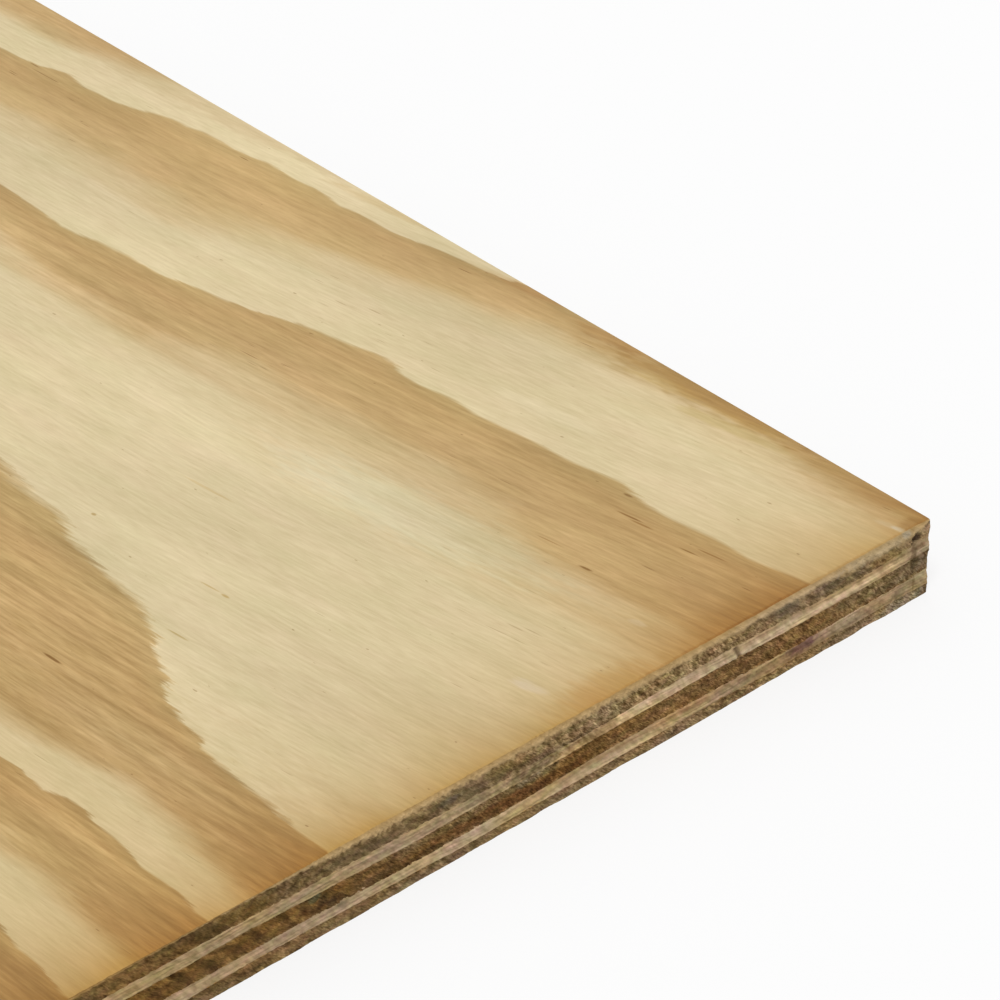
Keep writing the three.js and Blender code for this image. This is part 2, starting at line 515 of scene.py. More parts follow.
face_mesh = saw_veneer("face_veneer", "above")
x, y, z, share = pressed_places(face_mesh, "face_veneer")
surface_rings = face_rings(x, y)
tear = tear_strength(y)
bristly = along_end(y, BRISTLE_PLACES, BRISTLE_STRENGTHS) * beside_corner(x, y)
ragged = 1 + 0.16 * drift(y, z, 1.1 * MM, 2.2 * MM, 72) * bristly
torn = np.clip(1 - (sheet_high.z - z) / (TEAR_DEPTH * tear * ragged), 0.0, 1.0)
pit = np.where(x > 0, hollow(y, z, HOLLOW_PLACE, HOLLOW_SIZE), 0.0)
name_fields(face_mesh, ring=surface_rings + (z - sheet_high.z) * FACE_RINGS_PER_DEPTH,
            ring_slope=(face_rings(x + SLOPE_STEP, y) - surface_rings) / SLOPE_STEP,
            fibre=np.stack([x, face_fibres(x, y), z], 1), share=share,
            rough=along_end(y, FACE_ROUGH_PLACES, FACE_ROUGHNESS),
            torn=torn * at_end(x), pit=pit)
cut_in = end_grain_depth(x, y, z, 73) * (1 - 0.6 * torn)
cut_in += TEAR_REACH * np.minimum(tear, 1.0) * np.clip(2 * torn - 1, 0.0, 1.0) ** 1.3
cut_in += LOOSE_FIBRE * torn * drift(y, z, 0.9 * MM, 1.8 * MM, 74) * bristly
cut_in += corner_wear(x, y, z) + HOLLOW_DEPTH * pit
on_top = share > 0.999
z = z - np.where(on_top & at_end(x), ARRIS_DROP * np.minimum(tear, 1.0), 0.0)
z = z - np.where(on_top & at_edge(y), RIM_DROP, 0.0)
x, y = pared(x, y, cut_in, np.where(on_top, RIM_ROUNDING, FACE_EDGE_CUT))
move_vertices(face_mesh, x, y, z)

PALE_WOOD = (0.716, 0.597, 0.362)
TAN_WOOD = (0.590, 0.414, 0.190)
DARK_WOOD = (0.540, 0.364, 0.155)
RIM_WOOD = (0.515, 0.362, 0.155)
# Lines of the grain: how close they come along and across the fibres, to the metre, and how
# strongly they show in early and in late wood.
GRAIN_LINES = [(8.0, 55.0, 0.10, 0.30), (16.0, 150.0, 0.22, 0.52), (32.0, 560.0, 0.14, 0.50),
               (150.0, 1500.0, 0.40, 0.56)]
GOLD_TINT = (0.69, 0.505, 0.245)
GOLD_HALVING = 10.35 * MM
PITCH_TINT = (0.42, 0.30, 0.18)
SAWN_PALE = (0.650, 0.475, 0.265)
SAWN_DARK = (0.490, 0.342, 0.178)


def maths(tree, operation, first, second=0.0, third=0.0):
    """One step of arithmetic."""
    return add_node(tree, "Math", {0: first, 1: second, 2: third}, operation=operation).outputs[0]


def field(tree, name, output="Fac"):
    """A number, or a vector, stored on the mesh."""
    return add_node(tree, "Attribute", attribute_name=name).outputs[output]


def stretched_noise(tree, vector, scale, detail=2.0, rough=0.5):
    """Noise over a vector whose three directions are scaled each by its own number."""
    stretched = add_node(tree, "VectorMath", {0: vector, 1: scale}, operation="MULTIPLY")
    noise = add_node(tree, "TexNoise", {"Vector": stretched.outputs[0], "Scale": 1.0,
                                        "Detail": detail, "Roughness": rough})
    return noise.outputs["Fac"]


def remap(tree, value, from_low, from_high, to_low=0.0, to_high=1.0):
    """A value eased from one range to another and kept inside it."""
    return add_node(tree, "MapRange", {"Value": value, "From Min": from_low, "From Max": from_high,
                                       "To Min": to_low, "To Max": to_high},
                    interpolation_type="SMOOTHSTEP").outputs[0]


def centred(tree, value):
    """A value between nought and one, less a half."""
    return maths(tree, "SUBTRACT", value, 0.5)


def from_middle(tree):
    """Distance up or down from the middle of the veneer, which is half at its glue lines."""
    return maths(tree, "ABSOLUTE", centred(tree, field(tree, "share")))


def mix_colour(tree, share, first, second, blend="MIX"):
    """Two colours mixed by a share."""
    node = add_node(tree, "Mix", {0: share}, data_type="RGBA", blend_type=blend)
    for socket, colour in ((node.inputs[6], first), (node.inputs[7], second)):
        if isinstance(colour, tuple):
            socket.default_value = (*colour, 1.0)
        else:
            tree.links.new(colour, socket)
    return node.outputs[2]


def tinted(tree, colour, tint):
    """A colour multiplied by another."""
    return mix_colour(tree, 1.0, colour, tint, "MULTIPLY")


def colour_ramp(tree, value, stops):
    """A colour for each level of a value."""
    node = add_node(tree, "ValToRGB", {"Fac": value})
    for _ in stops[2:]:
        node.color_ramp.elements.new(0.5)
    for element, (position, colour) in zip(node.color_ramp.elements, stops):
        element.position = position
        element.color = (*colour, 1.0)
    return node.outputs["Color"]


def shade_by(tree, colour, value, low_tint, high_tint, low=0.3, high=0.7):
    """A colour multiplied by a tint that runs from one to another as a value grows."""
    return tinted(tree, colour, colour_ramp(tree, value, [(low, low_tint), (high, high_tint)]))


ON_FACE = (0, 1)
ON_END = (1, 2)


def stained_and_shaded(tree, colour, place, stains_and_shade, axes=ON_END, along=700.0):
    """A colour with soft round patches, of stain and in places of painted shade, whose edges are
    broken
    by noise: each has its middle, in millimetres from the corner's top, its half lengths and its
    tint."""
    broken = stretched_noise(tree, place, (along, 700.0, 700.0), 2.0, 0.6)
    for middle, size, tint in stains_and_shade:
        centre = list(sheet_high)
        spread = [0.0, 0.0, 0.0]
        for axis, way, half_length in zip(axes, middle, size):
            centre[axis] += way * MM
            spread[axis] = 1 / (half_length * MM)
        offset = add_node(tree, "VectorMath", {0: place, 1: centre}, operation="SUBTRACT")
        scaled = add_node(tree, "VectorMath", {0: offset.outputs[0], 1: spread},
                          operation="MULTIPLY")
        distance = add_node(tree, "VectorMath", {0: scaled.outputs[0]}, operation="LENGTH")
        edge = maths(tree, "ADD", distance.outputs["Value"], broken)
        colour = mix_colour(tree, remap(tree, edge, 0.95, 1.65, 1.0, 0.0), colour,
                            tinted(tree, colour, tint))
    return colour


def finish_wood(tree, colour, roughness, height, depth, shine=0.06):
    """The shader of bare wood: sawn wood hardly shines, and sanded wood a little."""
    bump = add_node(tree, "Bump", {"Height": height, "Distance": depth, "Strength": 1.0})
    wood = add_node(tree, "BsdfPrincipled", {"Base Color": colour, "Roughness": roughness,
                                             "Specular IOR Level": shine,
                                             "Normal": bump.outputs[0]})
    add_node(tree, "OutputMaterial", {"Surface": wood.outputs[0]})


def near_ends(tree, vector, reach):
    """One at the sawn ends, and half as much at each further step of the reach inwards."""
    along = add_node(tree, "SeparateXYZ", {0: vector}).outputs[0]
    inwards = maths(tree, "SUBTRACT", SHEET_LENGTH / 2, maths(tree, "ABSOLUTE", along))
    return maths(tree, "POWER", 0.5, maths(tree, "DIVIDE", inwards, reach))


def ringed_face(tree):
    """Colour of the sanded face, and its fine streaks: rings with one sharp side, combed out
    along the fibres, under streaks, pale mottling and short runs of pitch."""
    fibre = field(tree, "fibre", "Vector")
    teeth = centred(tree, stretched_noise(tree, fibre, (110.0, 1300.0, 1300.0), 4.0, 0.7))
    reach = maths(tree, "MULTIPLY", teeth, 0.011)
    combed = maths(tree, "MULTIPLY_ADD", field(tree, "ring_slope"), reach, field(tree, "ring"))
    combed = maths(tree, "MULTIPLY_ADD", teeth, 0.024, combed)
    phase = maths(tree, "FRACT", combed)
    wisps = centred(tree, stretched_noise(tree, fibre, (5.0, 75.0, 75.0), 3.0, 0.55))
    midway = maths(tree, "MULTIPLY", phase, maths(tree, "SUBTRACT", 1.0, phase))
    phase = maths(tree, "MULTIPLY_ADD", wisps, maths(tree, "MULTIPLY", midway, 1.6), phase)
    colour = colour_ramp(tree, phase, [(0.0, PALE_WOOD), (0.36, PALE_WOOD), (0.6, TAN_WOOD),
                                       (0.9, DARK_WOOD), (0.985, RIM_WOOD), (0.999, PALE_WOOD)])
    late = remap(tree, phase, 0.4, 0.65)
    bold = maths(tree, "MULTIPLY", late, remap(tree, field(tree, "ring"), 3.1, 3.7, 1.9, 1.1))
    bold = maths(tree, "MULTIPLY", bold, remap(tree, field(tree, "ring"), 4.1, 4.6, 1.0, 0.6))
    clouds = stretched_noise(tree, fibre, (9.0, 26.0, 26.0), 2.0, 0.5)
    colour = shade_by(tree, colour, clouds, (0.90, 0.895, 0.88), (1.065, 1.07, 1.08))
    mottle = stretched_noise(tree, fibre, (45.0, 120.0, 120.0), 4.0, 0.6)
    colour = shade_by(tree, colour, mottle, (0.96, 0.975, 0.94), (1.03, 1.01, 1.03))
    for scale, thinnest, pale_share, late_share in GRAIN_LINES:
        lines = stretched_noise(tree, fibre, (scale, thinnest, thinnest), 3.0, 0.6)
        lined = shade_by(tree, colour, lines, (0.78, 0.735, 0.65), (1.14, 1.15, 1.18))
        share = maths(tree, "MULTIPLY_ADD", bold, late_share - pale_share, pale_share)
        colour = mix_colour(tree, share, colour, lined)
    dashes = stretched_noise(tree, fibre, (120.0, 1900.0, 1900.0), 1.0, 0.5)
    clumps = stretched_noise(tree, fibre, (22.0, 80.0, 80.0), 3.0, 0.6)
    threshold = maths(tree, "MULTIPLY_ADD", clumps, -0.42, 0.97)
    over = maths(tree, "SUBTRACT", dashes, threshold)
    pitch = maths(tree, "MULTIPLY", remap(tree, over, 0.0, 0.09, 0.0, 0.75),
                  maths(tree, "MULTIPLY_ADD", late, 0.5, 0.5))
    specks = stretched_noise(tree, fibre, (420.0, 1100.0, 1100.0), 1.0, 0.4)
    pitch = maths(tree, "MAXIMUM", pitch, remap(tree, specks, 0.775, 0.84, 0.0, 0.6))
    colour = mix_colour(tree, pitch, colour, tinted(tree, colour, PITCH_TINT))
    patchy = stretched_noise(tree, fibre, (30.0, 45.0, 45.0), 2.0, 0.5)
    gold = maths(tree, "MULTIPLY", near_ends(tree, fibre, GOLD_HALVING),
                 maths(tree, "MULTIPLY_ADD", patchy, 0.9, 0.5))
    gold = maths(tree, "MINIMUM", gold, 1.0)
    return mix_colour(tree, gold, colour, tinted(tree, colour, GOLD_TINT)), lines


def sanded_pine(name, stains_and_shade):
    """The sanded side of a peeled pine veneer, with its stain patches and scuffs."""
    material, tree = new_material(name)
    colour, fine = ringed_face(tree)
    colour = stained_and_shaded(tree, colour, field(tree, "fibre", "Vector"), stains_and_shade, ON_FACE, 160.0)
    finish_wood(tree, colour, 0.62, fine, 0.00006, shine=0.25)
    return material


def sawn_texture(tree, vector, side):
    """Coarse and fine strokes of torn fibre on a sawn "end", or on a long "edge"."""
    turn = (STROKE_LEAN, 0.0, 0.0) if side == "end" else (0.0, STROKE_LEAN, 0.0)
    turned = add_node(tree, "Mapping", {"Vector": vector, "Rotation": turn}).outputs[0]
    coarse = stretched_noise(tree, turned, (380.0, 380.0, 1050.0), 2.0, 0.5)
    fine = stretched_noise(tree, turned, (900.0, 900.0, 3600.0), 2.0, 0.6)
    return coarse, fine


def mixed_tone(first, second, share):
    """A colour part of the way from one to another."""
    return tuple(a + (b - a) * share for a, b in zip(first, second))


def tinged(tree, colour, vector, side):
    """A colour that leans to rose and to green in places, as old sawn wood does."""
    tinge = stretched_noise(tree, vector, (320.0, 320.0, 620.0), 3.0, 0.6)
    leaning = shade_by(tree, colour, tinge, (0.92, 1.02, 0.90), (1.08, 0.975, 1.09))
    broad = stretched_noise(tree, vector, (70.0, 70.0, 200.0), 2.0, 0.5)
    leaning = shade_by(tree, leaning, broad, (1.03, 1.0, 0.84), (0.97, 1.0, 1.16))
    return mix_colour(tree, 1.0 if side == "end" else 0.4, colour, leaning)


def smeared(tree, colour, strokes, neighbour):
    """A colour, with the neighbouring veneers' dragged over the glue lines by the saw."""
    edge = maths(tree, "MULTIPLY_ADD", strokes, 0.5, from_middle(tree))
    return mix_colour(tree, remap(tree, edge, 0.67, 0.87, 0.0, 0.5), colour, neighbour)


def end_grain(tree, vector, early, late, side, neighbour):
    """Colour and height of sawn end grain: rings of dark late wood under torn fibre ends."""
    softened = maths(tree, "MULTIPLY_ADD", stretched_noise(tree, vector, (900.0,) * 3, 2.0, 0.6),
                     0.06, field(tree, "ring"))
    phase = maths(tree, "FRACT", softened)
    colour = colour_ramp(tree, phase, [(0.0, mixed_tone(early, late, 0.3)), (0.12, early),
                                       (0.4, early), (0.75, late), (0.95, late),
                                       (1.0, mixed_tone(early, late, 0.7))])
    cloud = stretched_noise(tree, vector, (110.0, 110.0, 260.0), 3.0, 0.6)
    colour = shade_by(tree, colour, cloud, (0.86, 0.86, 0.86), (1.13, 1.13, 1.13))
    colour = tinged(tree, colour, vector, side)
    coarse, fine = sawn_texture(tree, vector, side)
    plucked = shade_by(tree, colour, coarse, (0.40, 0.34, 0.25), (1.66, 1.70, 1.80), 0.27, 0.73)
    patches = stretched_noise(tree, vector, (60.0, 60.0, 160.0), 2.0, 0.5)
    colour = mix_colour(tree, remap(tree, patches, 0.40, 0.60, 0.35, 1.0), colour, plucked)
    colour = shade_by(tree, colour, fine, (0.72, 0.69, 0.64), (1.30, 1.31, 1.34))
    bold = shade_by(tree, colour, coarse, (0.80, 0.77, 0.72), (1.14, 1.15, 1.17))
    bold = shade_by(tree, bold, fine, (0.60, 0.56, 0.48), (1.40, 1.42, 1.48))
    colour = mix_colour(tree, field(tree, "rough"), colour, bold)
    colour = smeared(tree, colour, coarse, neighbour)
    return colour, maths(tree, "ADD", coarse, maths(tree, "MULTIPLY", fine, 0.5))


def long_grain(tree, vector, pale, dark, side, neighbour):
    """Colour and height of sawn long grain: streaks that run along the wall of the sheet."""
    broad_scale = (400.0, 6.0, 400.0) if side == "end" else (6.0, 400.0, 400.0)
    streak_scale = (1700.0, 22.0, 1700.0) if side == "end" else (22.0, 1700.0, 1700.0)
    phase = maths(tree, "FRACT", field(tree, "ring"))
    colour = colour_ramp(tree, phase, [(0.0, pale), (0.4, pale), (0.75, dark), (0.94, dark),
                                       (1.0, pale)])
    broad = stretched_noise(tree, vector, broad_scale, 3.0, 0.6)
    colour = shade_by(tree, colour, broad, (0.80, 0.78, 0.74), (1.16, 1.17, 1.20))
    streaks = stretched_noise(tree, vector, streak_scale, 3.0, 0.6)
    colour = shade_by(tree, colour, streaks, (0.88, 0.87, 0.85), (1.10, 1.10, 1.10))
    colour = tinged(tree, colour, vector, side)
    coarse = sawn_texture(tree, vector, side)[0]
    colour = shade_by(tree, colour, coarse, (0.74, 0.71, 0.67), (1.22, 1.22, 1.24))
    colour = smeared(tree, colour, coarse, neighbour)
    return colour, maths(tree, "ADD", streaks, maths(tree, "MULTIPLY", coarse, 0.6))


def torn_face_end():
    """The sawn ends of the face veneer, with fresh fibre on the torn arris and painted shade in
    the hollow.
    """
    material, tree = new_material("face_end_grain")
    place = add_node(tree, "TexCoord").outputs["Object"]
    colour, height = end_grain(tree, place, FACE_END_EARLY, FACE_END_LATE, "end", SAWN_PALE)
    torn = field(tree, "torn")
    strokes = sawn_texture(tree, place, "end")[0]
    fresh = colour_ramp(tree, torn, [(0.0, TORN_WOOD), (0.6, TORN_WOOD), (0.92, RUBBED_WOOD)])
    fresh = shade_by(tree, fresh, strokes, (0.84, 0.82, 0.78), (1.12, 1.12, 1.12))
    reach = maths(tree, "MULTIPLY_ADD", centred(tree, strokes), 0.45, torn)
    colour = mix_colour(tree, remap(tree, reach, 0.02, 0.55), colour, fresh)
    colour = stained_and_shaded(tree, colour, place, FACE_END_STAINS_AND_SHADE)
    # Painted shade: a near-black colour darkens the hollow beside the corner towards its middle.
    colour = mix_colour(tree, remap(tree, field(tree, "pit"), 0.05, 0.8), colour, PIT_SHADE_COLOUR)
    finish_wood(tree, colour, 0.85, height, 0.00045)
    return material


def sawn_wall(name, wall_kind, first, second, side, neighbour, bump_depth, stains_and_shade=()):
    """One sawn wall in end grain or long grain, with its patches of stain, and of painted shade,
    if it has any.
    """
    material, tree = new_material(name)
    place = add_node(tree, "TexCoord").outputs["Object"]
    colour, height = wall_kind(tree, place, first, second, side, neighbour)
    if stains_and_shade:
        colour = stained_and_shaded(tree, colour, place, stains_and_shade)
    finish_wood(tree, colour, 0.85 if stains_and_shade else 0.82, height, bump_depth)
    return material


def along_fibres(stains_and_shade):
    """Stains on the face, with their middles moved to where the fibres carry them."""
    return [((x, across(face_fibres(sheet_high.x + x * MM, sheet_high.y + y * MM))), size, tint)
            for (x, y), size, tint in stains_and_shade]


FACE_STAINS = [
    ((-60, -205), (170, 62), (0.92, 0.885, 0.81)),
    ((-60, -108), (110, 40), (0.965, 0.97, 0.975)),
    ((-68, -75), (40, 9), (1.03, 1.11, 1.20)),
    ((-45, -164), (30, 7), (1.07, 1.10, 1.18)),
    ((-35, -193), (30, 8), (1.04, 1.08, 1.11)),
    ((-118, -7), (20, 4), (1.07, 1.07, 1.08)),
    ((-1, -86), (8, 15), (0.90, 0.80, 0.64)),
    ((0, -50), (9, 17), (0.93, 0.88, 0.80)),
    ((-4.2, -7.9), (3.6, 1), (1.06, 1.13, 1.32)),
    ((-1.4, -7.4), (2.4, 0.8), (1.12, 1.30, 1.80)),
    ((-80, -30.5), (16, 2.6), (1.05, 1.06, 1.10)),
    ((-13, -97), (4.6, 1.8), (1.05, 1.08, 1.28)),
    ((-14, -67.5), (2.4, 1), (1.08, 1.14, 1.35)),
    ((-41, -43.8), (3.4, 0.32), (0.56, 0.45, 0.30)),
    ((-37.5, -44), (3.2, 0.26), (0.70, 0.60, 0.44)),
    ((-46.8, -38.9), (1.3, 0.38), (0.58, 0.50, 0.38)),
    ((-34, -62.5), (2.2, 0.40), (0.46, 0.36, 0.22)),
    ((-46, -61.4), (4, 0.24), (0.70, 0.62, 0.50)),
    ((-20.2, -41), (4.6, 0.26), (0.66, 0.57, 0.42)),
    ((-24.6, -43.6), (3, 0.26), (0.62, 0.53, 0.38)),
    ((-81, -158.2), (2.6, 0.40), (0.46, 0.36, 0.22)),
    ((-106.5, -99.8), (8, 0.42), (0.90, 0.84, 0.74)),
    ((-74.5, -120.7), (1.4, 0.40), (0.74, 0.64, 0.44)),
    ((-78.5, -120.9), (3, 0.26), (0.84, 0.76, 0.60)),
    ((-71, -135.7), (3.4, 0.26), (0.76, 0.68, 0.50)),
    ((-113.7, -122.2), (0.7, 0.45), (0.70, 0.60, 0.42)),
    ((-54, 0), (42, 5.4), (0.75, 0.66, 0.49)),
    ((-15, 0), (24, 8), (0.89, 0.84, 0.74)),
    ((-160, -0.8), (24, 1.6), (0.89, 0.84, 0.76)),
    ((-116, -0.8), (18, 1.5), (0.92, 0.84, 0.76)),
    ((-90, -1.2), (13, 2.2), (0.88, 0.80, 0.69)),
    ((-71, -5), (11, 1.9), (1.11, 1.13, 1.10)),
    ((-50, -3), (15, 1.4), (1.13, 1.16, 1.15)),
    ((-50, -6.6), (17, 2), (0.88, 0.86, 0.72)),
    ((-4.5, -3), (5.5, 2.2), (1.07, 1.14, 1.22)),
    ((-215, 0), (120, 5.5), (0.90, 0.86, 0.82)),
    ((0, -45), (1.4, 48), (0.84, 0.78, 0.72)),
    ((-1.2, -4), (2.6, 3.4), (0.84, 0.79, 0.72)),
]
FACE_END_EARLY = (0.345, 0.232, 0.104)
FACE_END_LATE = (0.225, 0.152, 0.074)
TORN_WOOD = (0.56, 0.385, 0.185)
RUBBED_WOOD = (0.41, 0.265, 0.108)
# Painted shade: the near-black colour of the hollow beside the corner, which is also cut into the
# end.
PIT_SHADE_COLOUR = (0.125, 0.080, 0.048)
# Stain patches on the face veneer's end, and one patch of painted shade: each has its middle, half
# lengths and tint.
FACE_END_STAINS_AND_SHADE = [
    ((-205, -2.2), (46, 4.5), (0.68, 0.58, 0.42)),
    ((-186, -0.6), (36, 1.2), (0.96, 0.99, 1.04)),
    ((-190, -3.2), (34, 1.4), (0.93, 0.92, 0.86)),
    ((-176, -2.7), (17, 2.2), (0.78, 0.79, 0.80)),
    ((-158, -3.6), (22, 1.5), (0.82, 0.82, 0.82)),
    ((-164.8, -3.2), (0.7, 1), (2.10, 2.15, 2.40)),
    ((-108, -3.9), (10, 1.5), (0.84, 0.84, 0.82)),
    ((-129, -3.2), (3.2, 1.1), (0.72, 0.80, 0.92)),
    ((-40.5, -2.7), (4.5, 1.6), (0.86, 0.92, 1.02)),
    ((-29, -3), (6, 1.5), (0.88, 0.92, 1.02)),
    ((-19.5, -3.3), (3.8, 1.4), (0.84, 0.90, 0.98)),
    ((-38, -0.8), (18, 1.8), (1.02, 1.06, 1.22)),
    ((-15, -0.8), (12, 2), (1.03, 1.12, 1.31)),
    ((-6, -2.8), (5, 2.6), (0.84, 0.85, 0.86)),
    ((-6.6, -0.6), (1.6, 1.1), (1.12, 1.27, 1.65)),
    # Painted shade: a dark line where the crevice runs down from the hollow beside the corner.
    ((-4.6, -4.4), (0.7, 0.9), (0.50, 0.46, 0.44)),
    ((-1.2, -2.6), (1.6, 2.2), (1.12, 1.08, 1.16)),
]
place_piece(face_mesh, "face_veneer",
            [sanded_pine("sanded_pine_face", along_fibres(FACE_STAINS)), torn_face_end(),
             sawn_wall("face_long_edge", long_grain, PALE_WOOD, TAN_WOOD, "edge", TAN_WOOD,
                       0.0002)])


# Upper crossband: the second ply, peeled from pine and glued under the face with its grain
# across the sheet, so that the sawn ends show its long grain. It is pale and streaked along the
# glue lines, bent round a knot, and split.
CROSSBAND_RINGS_PER_DEPTH = 0.12 / MM
CROSSBAND_END = (0.270, 0.185, 0.092)
CROSSBAND_END_LATE = (0.140, 0.098, 0.052)
# Painted shade: the dark colour laid along the splits, which are also cut into the end.
CRACK_SHADE_COLOUR = (0.235, 0.160, 0.085)
CRACK_DEPTH = 0.3 * MM
CROSSBAND_EDGE_CUT = 0.05 * MM
GRAIN_BEND = 0.7
# A split: its place, top and bottom, its lean and its half width, in millimetres.
UPPER_CRACKS = [(-54.6, -4.8, -8.3, 0.5, 0.75)]
# A knot under the surface: its place and size, and how far it lifts the grain, in millimetres.
UPPER_KNOTS = [(-102.0, 17.0, -1.2)]


def sawn_crack(y, z, crack):
    """One along a thin split in an end, which leans as it goes down, and nought beside it."""
    place, top, bottom, lean, half_width = crack
    up = upwards(z)
    line = place + lean * (top - up)
    beside = abs(across(y) - line) / half_width
    return np.clip(1.6 * (1 - beside), 0.0, 1.0) * ((up < top) & (up > bottom))


def long_grain_depth(x, y, z, seed):
    """How far the saw has cut into long grain: less than end grain, in runs along the ply."""
    torn = (0.07 + 0.03 * drift(y, z, 9 * MM, 0.9 * MM, seed)
            + 0.035 * saw_strokes(y, z, 1.4 * MM, 4 * MM, seed + 1))
    return np.clip(torn, 0.0, DEEPEST_LONG_CUT) * MM * beside_corner(x, y)


crossband_edge = sawn_wall("crossband_end_grain", end_grain, CROSSBAND_END, CROSSBAND_END_LATE,
                           "edge", SAWN_PALE, 0.0003)


def crossband(node, middle, seed, cracks, knots, end_material):
    """A crossband between two glue lines, of which only the four sawn walls show."""
    mesh = saw_veneer(node, "none")
    x, y, z, share = pressed_places(mesh, node)
    rings = peeled_rings(y, x, 2.2, middle, seed)
    bend = GRAIN_BEND * drift(y, z, 60 * MM, 25 * MM, seed + 7)
    knotty = 0.0 * y
    for place, size, lift in knots:
        beside = (across(y) - place) / size
        bend = bend + lift * np.exp(-beside ** 2)
        knotty = np.maximum(knotty, abs(lift) * np.exp(-beside ** 4))
    split = sum((sawn_crack(y, z, crack) for crack in cracks), 0.0 * y)
    split = np.where(x > 0, np.clip(split, 0.0, 1.0), 0.0)
    name_fields(mesh, ring=rings + (z - sheet_high.z) * CROSSBAND_RINGS_PER_DEPTH,
                share=share, fibre=np.stack([x, y, z + bend * MM], 1), split=split,
                knotty=np.where(x > 0, np.clip(knotty, 0.0, 1.0), 0.0))
    cut_in = long_grain_depth(x, y, z, seed + 8) + CRACK_DEPTH * split + corner_wear(x, y, z)
    x, y = pared(x, y, cut_in, CROSSBAND_EDGE_CUT)
    move_vertices(mesh, x, y, z)
    place_piece(mesh, node, [end_material, end_material, crossband_edge])


def crossband_end(name, stains_and_shade):
    """Long grain on the sheet's ends: bright along both glue lines, with painted shade in the
    splits.
    """
    material, tree = new_material(name)
    place = add_node(tree, "TexCoord").outputs["Object"]
    colour, height = long_grain(tree, field(tree, "fibre", "Vector"), SAWN_PALE,
                                SAWN_DARK, "end", CROSSBAND_END)
    seam = stretched_noise(tree, place, (0.0, 35.0, 300.0), 2.0, 0.5)
    middle = maths(tree, "MULTIPLY_ADD", seam, 0.25,
                   maths(tree, "SUBTRACT", from_middle(tree), 0.125))
    strokes = sawn_texture(tree, place, "end")[0]
    rough = shade_by(tree, colour, strokes, (0.48, 0.42, 0.33), (1.40, 1.42, 1.46))
    colour = mix_colour(tree, field(tree, "knotty"), colour, rough)
    colour = mix_colour(tree, remap(tree, middle, 0.30, 0.44), colour,
                        tinted(tree, colour, (1.14, 1.15, 1.16)))
    colour = stained_and_shaded(tree, colour, place, stains_and_shade)
    # Painted shade fills the splits.
    colour = mix_colour(tree, field(tree, "split"), colour, CRACK_SHADE_COLOUR)
    finish_wood(tree, colour, 0.8, height, 0.00022)
    return material


# Stain patches on the upper crossband's end, and one patch of painted shade along the crevice by
# the corner.
UPPER_STAINS_AND_SHADE = [
    ((-215, -6), (105, 9), (0.80, 0.79, 0.77)),
    ((-117, -6.2), (15, 2.6), (0.78, 0.78, 0.78)),
    ((-108.5, -6.6), (6, 3.4), (0.55, 0.53, 0.49)),
    ((-102.5, -5.4), (5, 1.4), (0.72, 0.72, 0.66)),
    ((-100, -7.2), (6, 1), (1.04, 1.04, 1.02)),
    ((-91.5, -6.6), (6, 2.4), (0.76, 0.72, 0.70)),
    ((-82.5, -6.1), (6, 1.7), (1.24, 1.27, 1.42)),
    ((-28, -5.1), (30, 1), (0.80, 0.77, 0.74)),
    ((-34, -6.7), (30, 1), (1.13, 1.14, 1.16)),
    ((-160, -6.9), (60, 1.3), (0.90, 0.92, 0.94)),
    ((-70, -6), (26, 3), (1.03, 1.04, 1.06)),
    ((-2.4, -5.3), (1.8, 1), (0.84, 0.70, 0.72)),
    # Painted shade: the dark line of the crevice down the corner.
    ((-4.6, -6), (1.1, 2.4), (0.52, 0.48, 0.45)),
    ((-4, -6), (7, 3.4), (0.76, 0.77, 0.78)),
]
crossband("upper_crossband", 0.285, 31, UPPER_CRACKS, UPPER_KNOTS,
          crossband_end("upper_crossband_long_grain", UPPER_STAINS_AND_SHADE))


# Core veneer: the middle and thickest ply, peeled from pine and glued between the crossbands with
# its grain along the sheet. Its end grain is the darkest, with rings that stand steeply through
# it at one side and lie flat at the other.
CORE_RING_PLACES = [-320, -250, -150, -125, -95, -60, -20, 0]
CORE_RING_NUMBERS = [-30.6, -18.6, -2.1, -1.8, -1.75, -1.7, -1.7, -1.7]
CORE_RING_LEANS = [0.16, 0.16, 0.16, 0.06, 0.02, 0.02, 0.02, 0.02]
CORE_ROUGH_PLACES = [-205, -165, -145, -110, -50, -20, 0]
CORE_ROUGHNESS = [0.1, 0.2, 0.7, 1.0, 1.0, 0.7, 0.6]
CORE_THICKNESS = 4.7
core_mesh = saw_veneer("core_veneer", "none")
x, y, z, share = pressed_places(core_mesh, "core_veneer")
core_rings = peeled_rings(x, y, 4.0, 0.45, 41)
led_rings = along_end(y, CORE_RING_PLACES, CORE_RING_NUMBERS)
led_rings = led_rings + 0.07 * drift(y, z, 14 * MM, 4 * MM, 42)
matched = 1 - beyond_match((x - sheet_high.x) / MM, across(y))
core_rings += matched * (led_rings - core_rings)
lean = along_end(y, CORE_RING_PLACES, CORE_RING_LEANS)
name_fields(core_mesh, ring=core_rings + (share - 0.5) * lean * CORE_THICKNESS, share=share,
            rough=along_end(y, CORE_ROUGH_PLACES, CORE_ROUGHNESS))
cut_in = end_grain_depth(x, y, z, 43) + corner_wear(x, y, z)
x, y = pared(x, y, cut_in, LONG_EDGE_CUT)
move_vertices(core_mesh, x, y, z)

CORE_END_EARLY = (0.250, 0.144, 0.053)
CORE_END_LATE = (0.142, 0.082, 0.032)
